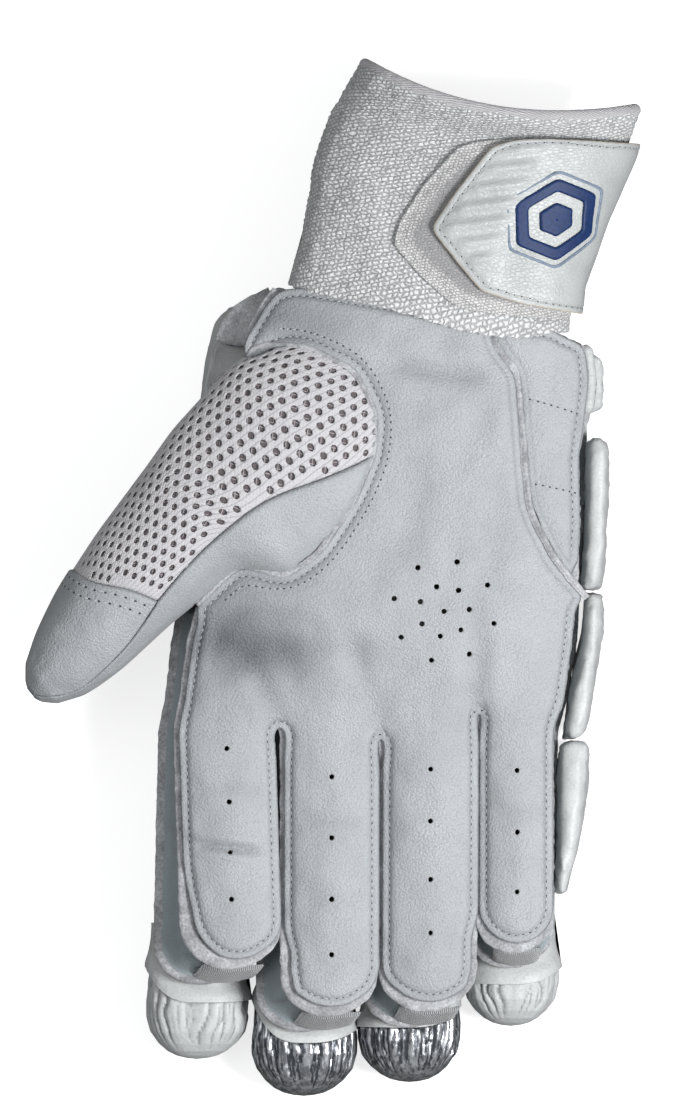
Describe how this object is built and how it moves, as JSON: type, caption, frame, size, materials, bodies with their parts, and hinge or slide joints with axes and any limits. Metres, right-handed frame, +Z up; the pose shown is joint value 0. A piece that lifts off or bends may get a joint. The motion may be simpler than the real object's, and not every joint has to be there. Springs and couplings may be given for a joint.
{
  "type": "cricket batting glove",
  "caption": "Right-hand batting glove: leather palm, gusseted finger stalls, air-mesh thumb, foam rolls on the back, knitted cuff and a wrap strap.",
  "frame": {"origin": "middle of the glove's bounding box in plan, on the surface that it lies on", "axes": "+Z up out of the palm as the glove lies on its padded back, +Y from the fingers to the cuff, +X towards the little-finger side"},
  "size_m": [0.1784, 0.3002, 0.0614],
  "materials": {
    "palm_leather": "soft fine-grained sheep leather, cool pale grey-white",
    "padding_hide": "smooth white synthetic hide over foam",
    "silver_hide": "metallic silver foil on hide, gathered",
    "gusset_fabric": "grey suede-like fabric",
    "raw_edge": "cut suede edge, matt grey",
    "finger_tab": "ribbed pale hide",
    "air_mesh": "perforated spacer mesh, pale lilac-grey",
    "mesh_lining": "dark second layer under the openings",
    "cuff_knit": "coarse looped knit, off-white",
    "nap": "napped loop fastener",
    "strap_hide": "white embossed synthetic hide",
    "motif": "raised navy moulding with a silver edge",
    "thread": "white sewing thread"
  },
  "bodies": {
    "root": {"palm_leather": "palm_leather", "heel_panel": "palm_leather", "heel_welt": "raw_edge", "thumb_opening_welt": "raw_edge", "back_panel": "gusset_fabric", "gusset_index": "gusset_fabric", "gusset_middle": "gusset_fabric", "gusset_ring": "gusset_fabric", "gusset_little": "gusset_fabric", "gusset_wrist": "gusset_fabric", "thumb_mesh": "air_mesh", "thumb_tip": "palm_leather", "thumb_side": "palm_leather", "thumb_back": "gusset_fabric", "thumb_guard_tip": "padding_hide", "thumb_guard_base": "padding_hide", "roll_end_index": "padding_hide", "roll_outer_index": "padding_hide", "roll_inner_index": "padding_hide", "roll_end_middle": "silver_hide", "roll_outer_middle": "padding_hide", "roll_inner_middle": "padding_hide", "roll_end_ring": "silver_hide", "roll_outer_ring": "padding_hide", "roll_inner_ring": "padding_hide", "roll_end_little": "padding_hide", "roll_outer_little": "padding_hide", "roll_inner_little": "padding_hide", "pad_knuckle_index": "padding_hide", "pad_hand_index": "padding_hide", "pad_knuckle_middle": "padding_hide", "pad_hand_middle": "padding_hide", "pad_knuckle_ring": "padding_hide", "pad_hand_ring": "padding_hide", "pad_knuckle_little": "padding_hide", "pad_hand_little": "padding_hide", "wrist_bar": "padding_hide", "bolster_upper": "padding_hide", "bolster_middle": "padding_hide", "bolster_lower": "padding_hide", "wrist_binding": "padding_hide", "tab_index": "finger_tab", "tab_middle": "finger_tab", "tab_ring": "finger_tab", "tab_little": "finger_tab", "cuff": "cuff_knit", "nap_patch": "nap", "strap": "strap_hide"}
  },
  "joints": []
}
